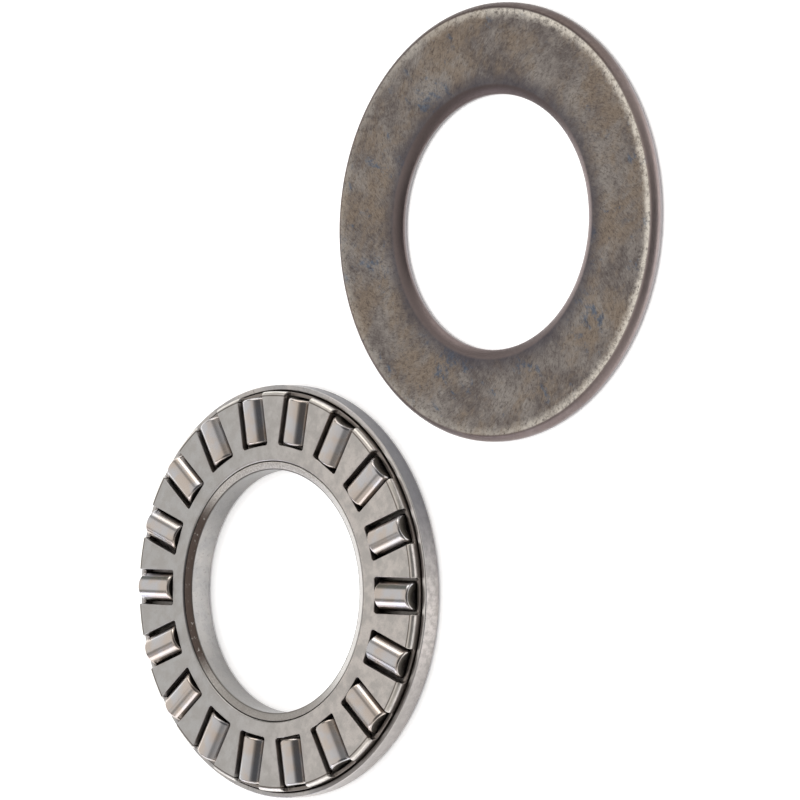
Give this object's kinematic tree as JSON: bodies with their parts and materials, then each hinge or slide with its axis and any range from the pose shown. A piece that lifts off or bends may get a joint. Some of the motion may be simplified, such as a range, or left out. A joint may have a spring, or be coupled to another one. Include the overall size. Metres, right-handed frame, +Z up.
{
  "type": "thrust roller bearing",
  "caption": "Caged cylindrical roller thrust bearing with a lipped race, laid out beside its loose flat cover washer.",
  "frame": {"origin": "centre of the race on its seating face, the plane that both units lie on", "axes": "+Z up along the bearing's axis, from the seating face to the rollers; +X from the race's centre to the loose washer's centre"},
  "size_m": [0.1271, 0.0612, 0.0053],
  "materials": {
    "race_steel": "ground",
    "cage_steel": "satin",
    "roller_steel": "polished",
    "washer_steel": "heat-treated, oxide-stained"
  },
  "bodies": {
    "race": {"race": "race_steel"},
    "cage": {"cage_shell": "cage_steel", "cage_retainer": "cage_steel"},
    "roller_01": {"roller_01": "roller_steel"},
    "roller_02": {"roller_02": "roller_steel"},
    "roller_03": {"roller_03": "roller_steel"},
    "roller_04": {"roller_04": "roller_steel"},
    "roller_05": {"roller_05": "roller_steel"},
    "roller_06": {"roller_06": "roller_steel"},
    "roller_07": {"roller_07": "roller_steel"},
    "roller_08": {"roller_08": "roller_steel"},
    "roller_09": {"roller_09": "roller_steel"},
    "roller_10": {"roller_10": "roller_steel"},
    "roller_11": {"roller_11": "roller_steel"},
    "roller_12": {"roller_12": "roller_steel"},
    "roller_13": {"roller_13": "roller_steel"},
    "roller_14": {"roller_14": "roller_steel"},
    "roller_15": {"roller_15": "roller_steel"},
    "roller_16": {"roller_16": "roller_steel"},
    "roller_17": {"roller_17": "roller_steel"},
    "roller_18": {"roller_18": "roller_steel"},
    "washer": {"washer": "washer_steel"}
  },
  "joints": [
    {"name": "cage_spin", "type": "hinge", "parent": "race", "child": "cage", "pos_m": [0, 0, 0.00307], "axis": [0, 0, 1], "continuous": true},
    {"name": "roller_01_spin", "type": "hinge", "parent": "cage", "child": "roller_01", "pos_m": [0.02472, 0.00337, 0.00307], "axis": [0.9908, 0.1352, 0], "continuous": true},
    {"name": "roller_02_spin", "type": "hinge", "parent": "cage", "child": "roller_02", "pos_m": [0.02208, 0.01162, 0.00307], "axis": [0.8848, 0.4659, 0], "continuous": true},
    {"name": "roller_03_spin", "type": "hinge", "parent": "cage", "child": "roller_03", "pos_m": [0.01677, 0.01847, 0.00307], "axis": [0.6721, 0.7405, 0], "continuous": true},
    {"name": "roller_04_spin", "type": "hinge", "parent": "cage", "child": "roller_04", "pos_m": [0.00944, 0.0231, 0.00307], "axis": [0.3783, 0.9257, 0], "continuous": true},
    {"name": "roller_05_spin", "type": "hinge", "parent": "cage", "child": "roller_05", "pos_m": [0.00097, 0.02493, 0.00307], "axis": [0.0389, 0.9992, 0], "continuous": true},
    {"name": "roller_06_spin", "type": "hinge", "parent": "cage", "child": "roller_06", "pos_m": [-0.00761, 0.02376, 0.00307], "axis": [-0.3052, 0.9523, 0], "continuous": true},
    {"name": "roller_07_spin", "type": "hinge", "parent": "cage", "child": "roller_07", "pos_m": [-0.01528, 0.01972, 0.00307], "axis": [-0.6125, 0.7905, 0], "continuous": true},
    {"name": "roller_08_spin", "type": "hinge", "parent": "cage", "child": "roller_08", "pos_m": [-0.02111, 0.01331, 0.00307], "axis": [-0.8459, 0.5333, 0], "continuous": true},
    {"name": "roller_09_spin", "type": "hinge", "parent": "cage", "child": "roller_09", "pos_m": [-0.02438, 0.00529, 0.00307], "axis": [-0.9773, 0.2118, 0], "continuous": true},
    {"name": "roller_10_spin", "type": "hinge", "parent": "cage", "child": "roller_10", "pos_m": [-0.02472, -0.00337, 0.00307], "axis": [-0.9908, -0.1352, 0], "continuous": true},
    {"name": "roller_11_spin", "type": "hinge", "parent": "cage", "child": "roller_11", "pos_m": [-0.02208, -0.01162, 0.00307], "axis": [-0.8848, -0.4659, 0], "continuous": true},
    {"name": "roller_12_spin", "type": "hinge", "parent": "cage", "child": "roller_12", "pos_m": [-0.01677, -0.01847, 0.00307], "axis": [-0.6721, -0.7405, 0], "continuous": true},
    {"name": "roller_13_spin", "type": "hinge", "parent": "cage", "child": "roller_13", "pos_m": [-0.00944, -0.0231, 0.00307], "axis": [-0.3783, -0.9257, 0], "continuous": true},
    {"name": "roller_14_spin", "type": "hinge", "parent": "cage", "child": "roller_14", "pos_m": [-0.00097, -0.02493, 0.00307], "axis": [-0.0389, -0.9992, 0], "continuous": true},
    {"name": "roller_15_spin", "type": "hinge", "parent": "cage", "child": "roller_15", "pos_m": [0.00761, -0.02376, 0.00307], "axis": [0.3052, -0.9523, 0], "continuous": true},
    {"name": "roller_16_spin", "type": "hinge", "parent": "cage", "child": "roller_16", "pos_m": [0.01528, -0.01972, 0.00307], "axis": [0.6125, -0.7905, 0], "continuous": true},
    {"name": "roller_17_spin", "type": "hinge", "parent": "cage", "child": "roller_17", "pos_m": [0.02111, -0.01331, 0.00307], "axis": [0.8459, -0.5333, 0], "continuous": true},
    {"name": "roller_18_spin", "type": "hinge", "parent": "cage", "child": "roller_18", "pos_m": [0.02438, -0.00529, 0.00307], "axis": [0.9773, -0.2118, 0], "continuous": true},
    {"name": "washer_spin", "type": "hinge", "parent": "race", "child": "washer", "pos_m": [0.0664, 0, 0.0009], "axis": [0, 0, 1], "continuous": true}
  ],
  "couplings": [
    {"joint": "roller_01_spin", "follows": "cage_spin", "ratio": -11.341},
    {"joint": "roller_02_spin", "follows": "cage_spin", "ratio": -11.341},
    {"joint": "roller_03_spin", "follows": "cage_spin", "ratio": -11.341},
    {"joint": "roller_04_spin", "follows": "cage_spin", "ratio": -11.341},
    {"joint": "roller_05_spin", "follows": "cage_spin", "ratio": -11.341},
    {"joint": "roller_06_spin", "follows": "cage_spin", "ratio": -11.341},
    {"joint": "roller_07_spin", "follows": "cage_spin", "ratio": -11.341},
    {"joint": "roller_08_spin", "follows": "cage_spin", "ratio": -11.341},
    {"joint": "roller_09_spin", "follows": "cage_spin", "ratio": -11.341},
    {"joint": "roller_10_spin", "follows": "cage_spin", "ratio": -11.341},
    {"joint": "roller_11_spin", "follows": "cage_spin", "ratio": -11.341},
    {"joint": "roller_12_spin", "follows": "cage_spin", "ratio": -11.341},
    {"joint": "roller_13_spin", "follows": "cage_spin", "ratio": -11.341},
    {"joint": "roller_14_spin", "follows": "cage_spin", "ratio": -11.341},
    {"joint": "roller_15_spin", "follows": "cage_spin", "ratio": -11.341},
    {"joint": "roller_16_spin", "follows": "cage_spin", "ratio": -11.341},
    {"joint": "roller_17_spin", "follows": "cage_spin", "ratio": -11.341},
    {"joint": "roller_18_spin", "follows": "cage_spin", "ratio": -11.341},
    {"joint": "washer_spin", "follows": "cage_spin", "ratio": 2}
  ]
}
